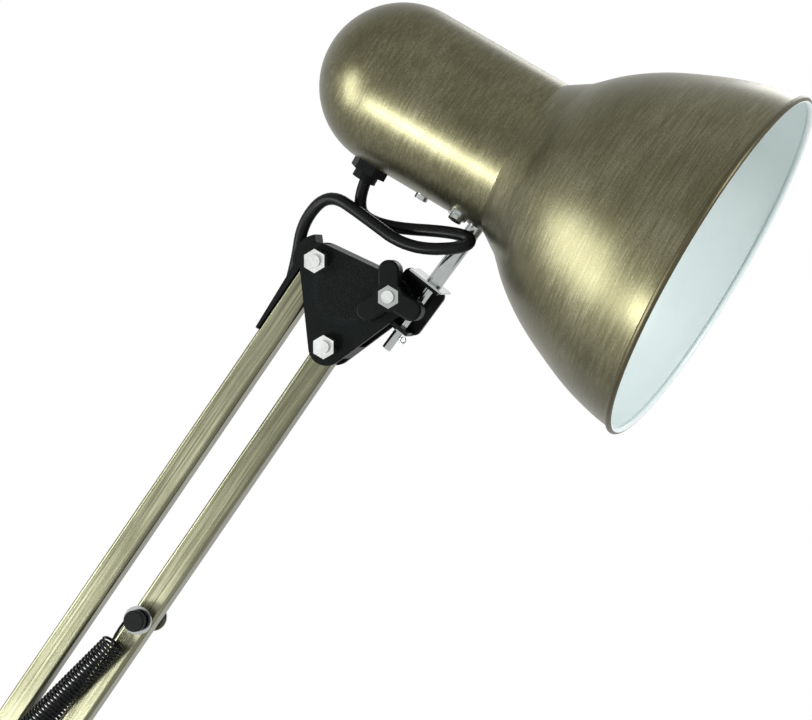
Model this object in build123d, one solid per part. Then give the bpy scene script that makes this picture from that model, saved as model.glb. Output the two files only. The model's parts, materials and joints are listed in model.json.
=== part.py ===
from build123d import *
import math
import os

os.makedirs("parts", exist_ok=True)

# Millimetres, Z up. The arms fold in the XZ plane, the head looks toward +X, the cord leaves toward +Y.

# Driving sizes
MOUTH_D = 180.0
ARM = 340.0
TUBE = 12.0
TUBE_WALL = 1.0
TUBE_CORNER = 2.0
CORD_D = 6.0
BASE_D = 200.0
LOWER_ARM_ANGLE = 120.0
UPPER_ARM_ANGLE = 54.6

# Named clearances
RUN = 0.05
FACE_GAP = 0.3
OVERRUN = 1.0
HALF = 0.5

# Pivots of the linkage
BASE_PIVOT = Vector(-4.0, 0, 72.0)
LOWER_LINK_OFFSET = Vector(8.3, 0, 40.2)
ELBOW_GAP = Vector(0, 0, 24.0)
UPPER_LINK_OFFSET = Vector(-4.5, 0, 40.9)
TILT_OFFSET = Vector(37.5, 0, -17.1)


def heading(angle):
    return Vector(math.cos(math.radians(angle)), 0, math.sin(math.radians(angle)))


LOWER_DIR = heading(LOWER_ARM_ANGLE)
UPPER_DIR = heading(UPPER_ARM_ANGLE)
Q2 = BASE_PIVOT
Q1 = Q2 + LOWER_LINK_OFFSET
Q2_TOP = Q2 + LOWER_DIR * ARM
Q1_TOP = Q1 + LOWER_DIR * ARM
P2_LOW = Q1_TOP + ELBOW_GAP
P1_LOW = P2_LOW + UPPER_LINK_OFFSET
P2 = P2_LOW + UPPER_DIR * ARM
P1 = P1_LOW + UPPER_DIR * ARM
TILT = P1 + TILT_OFFSET

# Bolts and bushes of every pivot
BOLT_R = 3.0
NUT_AF = 10.0
NUT_T = 5.0
HEAD_T = 4.0
BUSH_R = 4.0
PLATE_IN = 6.3
PLATE_T = 2.5
PLATE_OUT = PLATE_IN + PLATE_T
PLATE_CORNER = 9.0
BUSH_HALF = PLATE_IN - RUN
BOLT_END = 1.5

# Springs and their studs
STUD_AT = 178.0
SPRING_Y = 13.2
SPRING_OD = 12.0
WIRE_D = 1.5
CURLS = 24
COIL_START = 16.0
SPRING_BOLT_Y = 17.0
EYE_R = 7.0
EYE_T = 1.2
CAP_R = 5.2
CAP_T = 3.5

print("pivots", [tuple(round(c, 2) for c in p) for p in (Q2, Q1, Q2_TOP, Q1_TOP, P2_LOW, P1_LOW, P2, P1, TILT)])


# Helpers
def save(node, *solids):
    """Write one node; several solids become one group of separate solids."""
    shape = solids[0] if len(solids) == 1 else Compound(children=list(solids))
    export_step(shape, "parts/" + node + ".step")


def rod(radius, start, end):
    """A round bar between two points."""
    way = end - start
    return extrude(Plane(start, z_dir=way) * Circle(radius), way.length)


def across(point, y):
    """The point moved to depth y."""
    return Vector(point.X, y, point.Z)


def pin(radius, point, y_from, y_to):
    """A round bar along Y."""
    return rod(radius, across(point, y_from), across(point, y_to))


def ring(outer, inner, start, end):
    way = end - start
    past = way.normalized() * OVERRUN
    return rod(outer, start, end) - rod(inner, start - past, end + past)


def hexagon_bar(across_flats, start, end):
    way = end - start
    sketch = RegularPolygon(across_flats / 2, 6, major_radius=False)
    return extrude(Plane(start, z_dir=way) * sketch, way.length)


def bolt(point, head_y, nut_y, tip_y):
    """Hex bolt with its head on the far plate, and the hex nut on it."""
    away = math.copysign(HEAD_T, head_y)
    shank = pin(BOLT_R, point, head_y, tip_y)
    head = hexagon_bar(NUT_AF, across(point, head_y), across(point, head_y + away))
    nut_end = nut_y + math.copysign(NUT_T, nut_y)
    nut = hexagon_bar(NUT_AF, across(point, nut_y), across(point, nut_end))
    reach = math.copysign(OVERRUN, nut_y)
    nut -= pin(BOLT_R, point, nut_y - reach, nut_end + reach)
    return shank + head, nut


def face_slab(face, y_from, y_to):
    return extrude(Pos(0, y_from, 0) * face, y_to - y_from, dir=(0, 1, 0))


def belt_slab(centres, radius, y_from, y_to):
    """A plate whose outline is a belt laid round equal discs at the given centres."""
    slab = pin(radius, centres[0], y_from, y_to)
    count = len(centres)
    for i in range(count):
        a, b = centres[i], centres[(i + 1) % count]
        side = (b - a).normalized().cross(Vector(0, 1, 0)) * radius
        band = make_face(Polyline([a + side, b + side, b - side, a - side], close=True))
        slab += pin(radius, b, y_from, y_to)
        slab += face_slab(band, y_from, y_to)
        if count == 2:
            return slab
    return slab + face_slab(make_face(Polyline(centres, close=True)), y_from, y_to)


# Base: rubber pad, iron weight and spun shell, with a bush for the spindle
PAD_T = 2.0
PAD_MARGIN = 3.0
WEIGHT_GAP = 8.8
WEIGHT_Z = 14.0
WEIGHT_T = 12.0
SHELL_T = 1.2
SHELL_LIFT = 1.0
SHELL_ROUND = 7.0
SPINDLE_R = 8.0
SPINDLE_BORE_R = 5.0
BUSH_WALL = 3.0
BUSH_FLANGE_R = 16.0
BUSH_FLANGE_T = 2.0
RECESS_R = 19.0
RECESS_DEPTH = 6.0
BUSH_NUT_AF = 30.0
BUSH_NUT_T = 4.0
SPINDLE_NUT_AF = 22.0
SPINDLE_FLANGE_R = 11.0
SPINDLE_FLANGE_T = 2.5
BOSS_R = 14.0
GLAND_R = 5.0
GLAND_FLANGE_R = 7.0
GLAND_FLANGE_T = 2.0
CORD_Z = 7.5

BASE_R = BASE_D / 2
WEIGHT_R = BASE_R - SHELL_T - WEIGHT_GAP
PAD_R = BASE_R - PAD_MARGIN
WEIGHT_TOP = WEIGHT_Z + WEIGHT_T
SHELL_TOP = WEIGHT_TOP + SHELL_T
BUSH_TOP = SHELL_TOP + BUSH_FLANGE_T
BUSH_LOW = WEIGHT_Z + RECESS_DEPTH - BUSH_NUT_T
BUSH_OUT_R = SPINDLE_R + RUN + BUSH_WALL
SPINDLE_LOW = BUSH_LOW - RUN - BUSH_NUT_T
FLOOR_Z = BUSH_TOP + RUN
FLOOR_T = PLATE_T
FLOOR_TOP = FLOOR_Z + FLOOR_T


def height(z):
    return Vector(0, 0, z)


pad = extrude(Circle(PAD_R), PAD_T)
save("base_pad", pad)

# The weight stands on a rim ring; the cord leaves under it through a notch at the back
RIM_RING_T = 8.0
weight = ring(WEIGHT_R, BUSH_OUT_R, height(WEIGHT_Z), height(WEIGHT_TOP))
weight -= rod(RECESS_R, height(WEIGHT_Z - OVERRUN), height(WEIGHT_Z + RECESS_DEPTH))
weight += ring(WEIGHT_R, WEIGHT_R - RIM_RING_T, height(PAD_T), height(WEIGHT_Z))
NOTCH_W = CORD_D + OVERRUN + OVERRUN
notch = Box(NOTCH_W, WEIGHT_R, WEIGHT_Z - PAD_T, align=(Align.CENTER, Align.MIN, Align.MIN))
weight -= Pos(0, BOSS_R, PAD_T) * notch
save("base_weight", weight)

shell = extrude(Plane(height(SHELL_LIFT)) * Circle(BASE_R), SHELL_TOP - SHELL_LIFT)
shell = fillet(shell.edges().sort_by(Axis.Z)[-1], SHELL_ROUND)
hollow = extrude(Plane(height(SHELL_LIFT - OVERRUN)) * Circle(BASE_R - SHELL_T), WEIGHT_TOP - SHELL_LIFT + OVERRUN)
shell -= fillet(hollow.edges().sort_by(Axis.Z)[-1], SHELL_ROUND - SHELL_T)
shell -= rod(BUSH_OUT_R, height(WEIGHT_TOP - OVERRUN), height(SHELL_TOP + OVERRUN))
shell -= rod(GLAND_R, Vector(0, WEIGHT_R, CORD_Z), Vector(0, BASE_R + OVERRUN, CORD_Z))
save("base_shell", shell)

bush = rod(BUSH_OUT_R, height(BUSH_LOW), height(SHELL_TOP))
bush += rod(BUSH_FLANGE_R, height(SHELL_TOP), height(BUSH_TOP))
bush_bore = rod(SPINDLE_R + RUN, height(BUSH_LOW - OVERRUN), height(BUSH_TOP + OVERRUN))
bush -= bush_bore
bush_nut = hexagon_bar(BUSH_NUT_AF, height(BUSH_LOW), height(BUSH_LOW + BUSH_NUT_T))
bush_nut -= rod(BUSH_OUT_R, height(BUSH_LOW - OVERRUN), height(BUSH_LOW + BUSH_NUT_T + OVERRUN))
save("swivel_bush", bush, bush_nut)

GLAND_IN_Y = BASE_R - SHELL_T - GLAND_FLANGE_T
GLAND_OUT_Y = BASE_R + GLAND_FLANGE_T + GLAND_FLANGE_T


def along_y(y):
    return Vector(0, y, CORD_Z)


gland = rod(GLAND_R, along_y(GLAND_IN_Y), along_y(GLAND_OUT_Y))
gland += rod(GLAND_FLANGE_R, along_y(BASE_R + RUN), along_y(BASE_R + GLAND_FLANGE_T))
gland -= rod(CORD_D / 2, along_y(GLAND_IN_Y - OVERRUN), along_y(GLAND_OUT_Y + OVERRUN))
save("base_gland", gland)

# Spindle, hollow for the cord, held by a nut under the bush
spindle = rod(SPINDLE_R, height(SPINDLE_LOW), height(FLOOR_TOP))
spindle += rod(SPINDLE_FLANGE_R, height(FLOOR_TOP), height(FLOOR_TOP + SPINDLE_FLANGE_T))
spindle -= rod(SPINDLE_BORE_R, height(SPINDLE_LOW - OVERRUN), height(FLOOR_TOP + SPINDLE_FLANGE_T + OVERRUN))
save("spindle", spindle)
spindle_nut = hexagon_bar(SPINDLE_NUT_AF, height(SPINDLE_LOW), height(BUSH_LOW - RUN))
spindle_nut -= rod(SPINDLE_R, height(SPINDLE_LOW - OVERRUN), height(BUSH_LOW + OVERRUN))

# Bracket: a pressed fork with two cheeks on a round foot
CHEEK_FOOT_HALF = 12.0
cheek_foot = (Vector(-CHEEK_FOOT_HALF, 0, FLOOR_TOP), Vector(CHEEK_FOOT_HALF, 0, FLOOR_TOP))


def bracket_cheek(y_from, y_to):
    cheek = belt_slab([Q2, Q1], PLATE_CORNER, y_from, y_to)
    foot = [cheek_foot[0], cheek_foot[1], Q2 + Vector(PLATE_CORNER, 0, 0), Q2 - Vector(PLATE_CORNER, 0, 0)]
    cheek += face_slab(make_face(Polyline(foot, close=True)), y_from, y_to)
    for hole in (Q2, Q1):
        cheek -= pin(BOLT_R, hole, y_from - OVERRUN, y_to + OVERRUN)
    return cheek


bracket = extrude(Plane(height(FLOOR_Z)) * Circle(BOSS_R + PLATE_T), FLOOR_T)
bracket -= rod(SPINDLE_R, height(FLOOR_Z - OVERRUN), height(FLOOR_TOP + OVERRUN))
bracket += bracket_cheek(PLATE_IN, PLATE_OUT)
bracket += bracket_cheek(-PLATE_OUT, -PLATE_IN)
bracket -= rod(SPINDLE_FLANGE_R + FACE_GAP, height(FLOOR_TOP), height(FLOOR_TOP + SPINDLE_FLANGE_T + FACE_GAP))
save("base_bracket", bracket)

# Arm tubes: square steel tube with rounded ends, a bush through each pivot
SLOT_W = 7.0
SLOT_NEAR = 31.0
SLOT_FAR = 58.0
GUIDE_SLOT_NEAR = 8.0
GUIDE_SLOT_FAR = 38.0
STUD_TAIL = 1.5
STUD_COLLAR_R = 4.5
STUD_COLLAR_T = 1.5
TUBE_HALF = TUBE / 2
TUBE_IN = TUBE_HALF - TUBE_WALL


def tube_blank(start, end):
    way = (end - start).normalized()
    sheet = Plane(start - way * TUBE_HALF, x_dir=(0, 1, 0), z_dir=way)
    outer = RectangleRounded(TUBE, TUBE, TUBE_CORNER)
    inner = RectangleRounded(TUBE - TUBE_WALL * 2, TUBE - TUBE_WALL * 2, TUBE_CORNER - TUBE_WALL)
    tube = extrude(sheet * (outer - inner), (end - start).length + TUBE)
    tube &= belt_slab([start, end], TUBE_HALF, -TUBE_HALF, TUBE_HALF)
    for point in (start, end):
        tube -= pin(BUSH_R, point, -TUBE, TUBE)
    return tube


def tube_slot(pivot, way, side, near, far):
    """A round-ended slot for the cord in the tube wall that faces the given side."""
    middle = pivot + way * ((near + far) / 2) + side * (TUBE_IN - OVERRUN)
    sheet = Plane(middle, x_dir=way, z_dir=side)
    return extrude(sheet * SlotOverall(far - near, SLOT_W), TUBE_WALL + OVERRUN * 2)


def bush_pair(start, end):
    return [ring(BUSH_R, BOLT_R + RUN, across(p, -BUSH_HALF), across(p, BUSH_HALF)) for p in (start, end)]


def stud(point, side):
    """A rivet stud in one wall of a tube, with a collar that keeps the eye off the tube."""
    shank = pin(BOLT_R, point, side * (TUBE_IN - STUD_TAIL), side * SPRING_BOLT_Y)
    return shank + pin(STUD_COLLAR_R, point, side * TUBE_HALF, side * (TUBE_HALF + STUD_COLLAR_T))


CAP_Y = SPRING_Y + WIRE_D / 2 + FACE_GAP
CAP_COVER = 1.2


def spring_cap(point, side):
    """A black cap pressed on the end of a stud or spring bolt."""
    cap = pin(CAP_R, point, side * CAP_Y, side * (SPRING_BOLT_Y + CAP_COVER))
    cap = fillet(cap.edges().sort_by(Axis.Y)[-1 if side > 0 else 0], CAP_COVER * HALF)
    return cap - pin(BOLT_R, point, side * (CAP_Y - OVERRUN), side * SPRING_BOLT_Y)


def spring_eye(point, side):
    """The chrome washer between the hook of a spring and the tube."""
    y = side * (SPRING_Y - WIRE_D / 2 - RUN)
    return ring(EYE_R, BOLT_R + FACE_GAP, across(point, y - side * EYE_T), across(point, y))


# Lower arm: the cord tube carries the spring studs, the link tube runs beside it
LOWER_SIDE = heading(LOWER_ARM_ANGLE + 90)
UPPER_SIDE = heading(UPPER_ARM_ANGLE + 90)
LOWER_STUD = Q2 + LOWER_DIR * STUD_AT
UPPER_STUD = P2_LOW + UPPER_DIR * STUD_AT


def stud_holes(point):
    return pin(BOLT_R, point, -TUBE, TUBE)


lower_main = tube_blank(Q2, Q2_TOP) - stud_holes(LOWER_STUD)
lower_main -= tube_slot(Q2, LOWER_DIR, LOWER_SIDE, SLOT_NEAR, SLOT_FAR)
lower_main -= tube_slot(Q2_TOP, -LOWER_DIR, LOWER_SIDE, SLOT_NEAR, SLOT_FAR)
save("lower_main_tube", lower_main)
save("lower_main_bushes", *bush_pair(Q2, Q2_TOP))
save("lower_spring_studs", stud(LOWER_STUD, 1), stud(LOWER_STUD, -1))
save("lower_stud_caps", spring_cap(LOWER_STUD, 1), spring_cap(LOWER_STUD, -1))
save("lower_spring_eyes", spring_eye(LOWER_STUD, 1), spring_eye(LOWER_STUD, -1))

save("lower_link_tube", tube_blank(Q1, Q1_TOP))
save("lower_link_bushes", *bush_pair(Q1, Q1_TOP))

# Upper arm: cord tube above, spring tube below
upper_cord_tube = tube_blank(P1_LOW, P1)
upper_cord_tube -= tube_slot(P1_LOW, UPPER_DIR, UPPER_SIDE, SLOT_NEAR, SLOT_FAR)
upper_cord_tube -= tube_slot(P1, -UPPER_DIR, UPPER_SIDE, GUIDE_SLOT_NEAR, GUIDE_SLOT_FAR)
save("upper_cord_tube", upper_cord_tube)
save("upper_cord_bushes", *bush_pair(P1_LOW, P1))

save("upper_spring_tube", tube_blank(P2_LOW, P2) - stud_holes(UPPER_STUD))
save("upper_spring_bushes", *bush_pair(P2_LOW, P2))
save("upper_spring_studs", stud(UPPER_STUD, 1), stud(UPPER_STUD, -1))
save("upper_stud_caps", spring_cap(UPPER_STUD, 1), spring_cap(UPPER_STUD, -1))
save("upper_spring_eyes", spring_eye(UPPER_STUD, 1), spring_eye(UPPER_STUD, -1))

# Elbow: two moulded half-shells closed on the left, with four bolts through them
SPRING_NUT_T = 3.0
SEAM = FACE_GAP * HALF


def plate_wall(a, b, side, y_sign):
    """The wall of a half-shell along one edge, reaching to the seam at mid-depth."""
    inner = side * (PLATE_CORNER - PLATE_T)
    outer = side * PLATE_CORNER
    band = make_face(Polyline([a + inner, b + inner, b + outer, a + outer], close=True))
    low, high = sorted((y_sign * SEAM, y_sign * PLATE_IN))
    return face_slab(band, low, high)


def elbow_plate(sign):
    low, high = sorted((sign * PLATE_IN, sign * PLATE_OUT))
    plate = belt_slab([Q2_TOP, Q1_TOP, P2_LOW, P1_LOW], PLATE_CORNER, low, high)
    left = (Q2_TOP - P1_LOW).normalized().cross(Vector(0, 1, 0))
    left = left if left.X < 0 else -left
    plate += plate_wall(P1_LOW, Q2_TOP, left, sign)
    for hole in (Q2_TOP, Q1_TOP, P2_LOW, P1_LOW):
        plate -= pin(BOLT_R, hole, low - OVERRUN, high + OVERRUN)
    return plate


save("elbow_plate_front", elbow_plate(-1))
save("elbow_plate_back", elbow_plate(1))


def spring_bolt(point):
    """A long bolt that carries a spring hook and a cap at both ends, with two thin nuts."""
    parts = [pin(BOLT_R, point, -SPRING_BOLT_Y, SPRING_BOLT_Y)]
    for side in (1, -1):
        low, high = across(point, side * PLATE_OUT), across(point, side * (PLATE_OUT + SPRING_NUT_T))
        nut = hexagon_bar(NUT_AF, low, high)
        parts.append(nut - pin(BOLT_R, point, side * (PLATE_OUT - OVERRUN), side * SPRING_BOLT_Y))
        parts.append(spring_cap(point, side))
    return parts


def plain_bolt(point):
    return list(bolt(point, PLATE_OUT, -PLATE_OUT, -PLATE_OUT - NUT_T - BOLT_END))


elbow_set = spring_bolt(P1_LOW)
bracket_set = spring_bolt(Q1)
plain_set = [solid for pivot in (P2_LOW, Q1_TOP, Q2_TOP) for solid in plain_bolt(pivot)]
save("elbow_caps", elbow_set[2], elbow_set[4])
save("elbow_fasteners", *plain_set, *elbow_set[:2], elbow_set[3])
save("bracket_caps", bracket_set[2], bracket_set[4])
save("bracket_fasteners", *plain_bolt(Q2), *bracket_set[:2], bracket_set[3], spindle_nut)


# Wound wire and cord: tangent arcs between places that a formula gives
def biarc(p0, t0, p1, t1):
    """Two arcs that leave p0 along t0 and reach p1 along t1."""
    v = p1 - p0
    both = t0 + t1
    k = 2 * (1 - t0.dot(t1))
    dot = v.dot(both)
    if abs(k) < 1e-9:
        d = v.length * v.length / (4 * v.dot(t1))
    else:
        d = (-dot + math.sqrt(dot * dot + k * v.dot(v))) / k
    middle = (p0 + p1 + (t0 - t1) * d) / 2
    first = Edge.make_tangent_arc(p0, t0, middle)
    return [first, Edge.make_tangent_arc(middle, first % 1, p1)]


def wound(states):
    edges = []
    for (p0, t0), (p1, t1) in zip(states, states[1:]):
        edges += biarc(p0, t0, p1, t1)
    return edges


def tube_along(edges, radius):
    wire = Wire(edges)
    start = Plane(edges[0] @ 0, z_dir=edges[0] % 0)
    return sweep(start * Circle(radius), path=wire)


def least_gap(edges, diameter, steps):
    """The least gap between stretches of one tube that aren't neighbours along it."""
    points, along, total = [], [], 0
    for edge in edges:
        for i in range(steps):
            points.append(edge @ (i / steps))
            along.append(total + edge.length * i / steps)
        total += edge.length
    reach = diameter * 3
    gaps = [
        (points[i] - points[j]).length
        for i in range(len(points))
        for j in range(i)
        if along[i] - along[j] > reach
    ]
    return min(gaps) - diameter


# Tension springs: a close coil with a hook at each end, one unbroken wire
HOOK_R = BOLT_R + WIRE_D / 2 + RUN
COIL_R = (SPRING_OD - WIRE_D) / 2
HOOK_RUN = 7.0


def tension_spring(bolt_at, stud_at, side):
    way = (stud_at - bolt_at).normalized()
    out = Vector(0, side, 0)
    up = way.cross(Vector(0, 1, 0))
    origin = across(bolt_at, side * SPRING_Y)
    far = across(stud_at, side * SPRING_Y)
    length = (far - origin).length
    coil = length - COIL_START * 2
    rise = Vector(way) * (coil / CURLS / (math.pi * 2))

    def helix(turns):
        angle = turns * math.pi * 2
        place = origin + way * (COIL_START + coil * turns / CURLS)
        place += (up * math.sin(angle) + out * math.cos(angle)) * COIL_R
        tangent = (up * math.cos(angle) - out * math.sin(angle)) * COIL_R + rise
        return place, tangent.normalized()

    def hook(centre, away):
        tip = centre + up * (HOOK_R * away)
        root = centre - up * (HOOK_R * away)
        return tip, centre - way * (HOOK_R * away), root

    tip, bow, root = hook(origin, 1)
    lead = root + way * HOOK_RUN
    edges = [Edge.make_line(tip + way * WIRE_D, tip), Edge.make_three_point_arc(tip, bow, root)]
    edges.append(Edge.make_line(root, lead))
    edges += biarc(lead, way, *helix(0))
    edges += wound([helix(i / 4) for i in range(CURLS * 4 + 1)])
    tip, bow, root = hook(far, -1)
    lead = root - way * HOOK_RUN
    edges += biarc(*helix(CURLS), lead, way)
    edges.append(Edge.make_line(lead, root))
    edges.append(Edge.make_three_point_arc(root, bow, tip))
    edges.append(Edge.make_line(tip, tip - way * WIRE_D))
    print("spring least gap", round(least_gap(edges, WIRE_D, 3), 2))
    return tube_along(edges, WIRE_D / 2)


save("lower_springs", tension_spring(Q1, LOWER_STUD, 1), tension_spring(Q1, LOWER_STUD, -1))
save("upper_springs", tension_spring(P1_LOW, UPPER_STUD, 1), tension_spring(P1_LOW, UPPER_STUD, -1))

# Head plates: two moulded half-shells, open on the left for the tubes
UPPER_WALL_STOP = 12.0
LOWER_WALL_STOP = 28.5
LOWER_WALL_SHORT = 3.0


def head_plate(sign):
    low, high = sorted((sign * PLATE_IN, sign * PLATE_OUT))
    plate = belt_slab([P1, P2, TILT], PLATE_CORNER, low, high)
    for pivot, stop, short in ((P1, UPPER_WALL_STOP, 0), (P2, LOWER_WALL_STOP, LOWER_WALL_SHORT)):
        way = (pivot - TILT).normalized()
        side = way.cross(Vector(0, 1, 0))
        side = side if side.X > 0 else -side
        plate += plate_wall(TILT + way * stop, pivot - way * short, side, sign)
    for hole in (P1, P2, TILT):
        plate -= pin(BOLT_R, hole, low - OVERRUN, high + OVERRUN)
    return plate


save("head_plate_front", head_plate(-1))
save("head_plate_back", head_plate(1))
save("head_fasteners", *plain_bolt(P1), *plain_bolt(P2))

# Tilt joint: stirrup cheek beside the back plate, a sleeve in front of it, a three-lobed knob
SHEET = 2.0
CHEEK_Y = PLATE_IN - RUN
SLEEVE_R = 5.0
KNOB_GAP = RUN
KNOB_HUB_R = 7.0
KNOB_HUB_T = 1.2
KNOB_T = 8.0
LOBE_REACH = 12.4
LOBE_R = 5.2
LOBE_COUNT = 3
KNOB_NUT_AF = 9.7
KNOB_NUT_T = 4.0
KNOB_BACK = PLATE_OUT + KNOB_GAP
KNOB_FACE = KNOB_BACK + KNOB_HUB_T + KNOB_T
TILT_TIP = KNOB_FACE + BOLT_END

tilt_bolt = pin(BOLT_R, TILT, -TILT_TIP, PLATE_OUT)
tilt_bolt += hexagon_bar(NUT_AF, across(TILT, PLATE_OUT), across(TILT, PLATE_OUT + HEAD_T))
save("tilt_bolt", tilt_bolt)
sleeve_end = CHEEK_Y - SHEET - RUN
save("tilt_sleeve", ring(SLEEVE_R, BOLT_R, across(TILT, -PLATE_IN), across(TILT, sleeve_end)))

knob = pin(KNOB_HUB_R, TILT, -KNOB_FACE, -KNOB_BACK)
for lobe in range(LOBE_COUNT):
    reach = heading(90 + lobe * 360 / LOBE_COUNT)
    bar = belt_slab([TILT, TILT + reach * LOBE_REACH], LOBE_R, -KNOB_FACE, -KNOB_BACK - KNOB_HUB_T)
    knob += fillet(bar.edges().group_by(Axis.Y)[0], KNOB_HUB_T)
knob -= pin(BOLT_R + RUN, TILT, -KNOB_FACE - OVERRUN, -KNOB_BACK + OVERRUN)
knob_recess = hexagon_bar(KNOB_NUT_AF, across(TILT, KNOB_NUT_T - KNOB_FACE), across(TILT, -KNOB_FACE - OVERRUN))
knob -= knob_recess
save("tilt_knob", knob)
knob_nut = hexagon_bar(KNOB_NUT_AF, across(TILT, KNOB_NUT_T - KNOB_FACE), across(TILT, -KNOB_FACE))
knob_nut -= pin(BOLT_R + RUN, TILT, -KNOB_FACE - OVERRUN, -KNOB_BACK)
save("knob_nut", knob_nut)

# Stem: frame of its own, u along the rod and v across it
STEM_ANGLE = 52.65
STEM_OFF = 10.3
STEM_R = 4.0
STEM_THIN_R = 2.25
STIRRUP_LOW = -11.5
STIRRUP_HIGH = 15.0
STIRRUP_V_IN = -6.0
STIRRUP_V_OUT = 17.8
FRICTION_T = 1.0
FRICTION_V_IN = -1.5
FRICTION_W = 18.0
KEEPER_R = 4.15
KEEPER_T = 1.0
STEM_TIP = -23.0
PIN_U = -15.0
PIN_RING_R = 1.3
PIN_WIRE_R = 0.5

STEM_U = heading(STEM_ANGLE)
STEM_V = heading(STEM_ANGLE - 90)


def stem_point(u, v, y):
    return TILT + STEM_U * u + STEM_V * v + Vector(0, y, 0)


def stem_box(u0, u1, v0, v1, y0, y1):
    """A box with its sides along the stem's own axes."""
    sheet = Plane(stem_point((u0 + u1) / 2, (v0 + v1) / 2, y0), x_dir=STEM_U, z_dir=(0, 1, 0))
    return extrude(sheet * Rectangle(u1 - u0, v1 - v0), y1 - y0)


def stem_axis(u):
    return stem_point(u, STEM_OFF, 0)


stirrup = stem_box(STIRRUP_LOW, STIRRUP_HIGH, STIRRUP_V_IN, STIRRUP_V_OUT, CHEEK_Y - SHEET, CHEEK_Y)
corners = stirrup.edges().filter_by(Axis.Y)
stirrup = fillet(corners, SHEET + SHEET)
stirrup += stem_box(STIRRUP_HIGH - SHEET, STIRRUP_HIGH, FRICTION_V_IN, STIRRUP_V_OUT - SHEET, -CHEEK_Y, CHEEK_Y)
stirrup += stem_box(STIRRUP_LOW, STIRRUP_LOW + SHEET, FRICTION_V_IN, STIRRUP_V_OUT - SHEET, -CHEEK_Y, CHEEK_Y)
stirrup -= pin(BOLT_R + RUN, TILT, -PLATE_OUT, PLATE_OUT)
stirrup -= rod(STEM_THIN_R + RUN, stem_axis(STEM_TIP), stem_axis(STIRRUP_HIGH + OVERRUN))
save("stirrup", stirrup)

friction_top = STIRRUP_HIGH + FRICTION_T
half_w = FRICTION_W / 2
friction = stem_box(STIRRUP_HIGH, friction_top, FRICTION_V_IN, STIRRUP_V_OUT, -half_w, half_w)
friction -= rod(STEM_THIN_R + RUN, stem_axis(0), stem_axis(friction_top + OVERRUN))
save("friction_plate", friction)

# Head frame: t runs back from the rim, n points at the underside
HEAD_ANGLE = 150.0
RIM_AT = Vector(150.7, 0, 14.4)
HEAD_BACK = heading(HEAD_ANGLE)
HEAD_DOWN = heading(HEAD_ANGLE + 90)
RIM = TILT + RIM_AT


def head_point(t, down, y):
    return RIM + HEAD_BACK * t + HEAD_DOWN * down + Vector(0, y, 0)


MOUTH_R = MOUTH_D / 2
SHADE_T = 0.8
NECK_R = 40.0
bell_places = (0, 0.125, 0.306, 0.5, 0.694, 0.861, 1)
bell_shares = (0.99, 0.973, 0.928, 0.852, 0.759, 0.648, 0.522)
BELL_T = 90.0
CREASE_T = 101.0
DOME_T = 171.0
RIM_ROLL_R = 1.6
STEM_HEX_AF = 10.0
STEM_HEX_T = 4.0
SCREW_T = 114.0
SCREW_Y = 14.3
SMALL_SCREW_T = 137.0
SCREW_R = 2.0
CUP_R = 5.0
CUP_T = 1.5
SCREW_HEAD_R = 3.4
SCREW_HEAD_T = 2.2
GLAND_T = 166.0
CORD_R = CORD_D / 2
HEAD_GLAND_R = 6.0
HEAD_GLAND_BIG_R = 8.0
HEAD_GLAND_OUT = 8.0
HEAD_GLAND_IN = 2.5
FOOT_T = 1.5


def shade_profile(inset):
    """Outline of the shade from the rim to the pole, moved inward by the wall."""
    bell = [head_point(BELL_T * place, -MOUTH_R * r + inset, 0) for place, r in zip(bell_places, bell_shares)]
    crease = head_point(CREASE_T, -NECK_R + inset, 0)
    dome = head_point(DOME_T, -NECK_R + inset, 0)
    radius = NECK_R - inset
    bow = head_point(DOME_T + radius * math.sin(math.radians(45)), -radius * math.cos(math.radians(45)), 0)
    pole = head_point(DOME_T + radius, 0, 0)
    return bell, crease, dome, bow, pole


def shade_solid(inset, start):
    bell, crease, dome, bow, pole = shade_profile(inset)
    if start:
        bell = [head_point(-start, -MOUTH_R + inset, 0)] + bell
    edges = [Spline(bell), Line(bell[-1], crease), Line(crease, dome), ThreePointArc(dome, bow, pole)]
    edges += [Line(pole, head_point(-start, 0, 0)), Line(head_point(-start, 0, 0), bell[0])]
    return revolve(make_face(Wire([e.edge() for e in edges])), axis=Axis(RIM, HEAD_BACK))


shade = shade_solid(0, 0) - shade_solid(SHADE_T, OVERRUN)
rim_circle = Plane(head_point(0, -MOUTH_R * bell_shares[0], 0), z_dir=(0, 1, 0)) * Circle(RIM_ROLL_R)
shade += revolve(rim_circle, axis=Axis(RIM, HEAD_BACK))
shade -= rod(STEM_THIN_R + RUN, stem_axis(STIRRUP_HIGH), stem_axis(NECK_R * 2))

# What pierces the shade: stem, gland and three screws
shade_body = shade_solid(0, 0)
inner_neck = rod(NECK_R - SHADE_T, head_point(CREASE_T, 0, 0), head_point(DOME_T, 0, 0))
inner_foot = rod(NECK_R - SHADE_T - FOOT_T, head_point(CREASE_T, 0, 0), head_point(DOME_T, 0, 0))


def stem_u_at(down):
    """How far along the stem it stands at a given distance under the head's axis."""
    start = (stem_axis(0) - RIM).dot(HEAD_DOWN)
    return (down - start) / STEM_U.dot(HEAD_DOWN)


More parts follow.
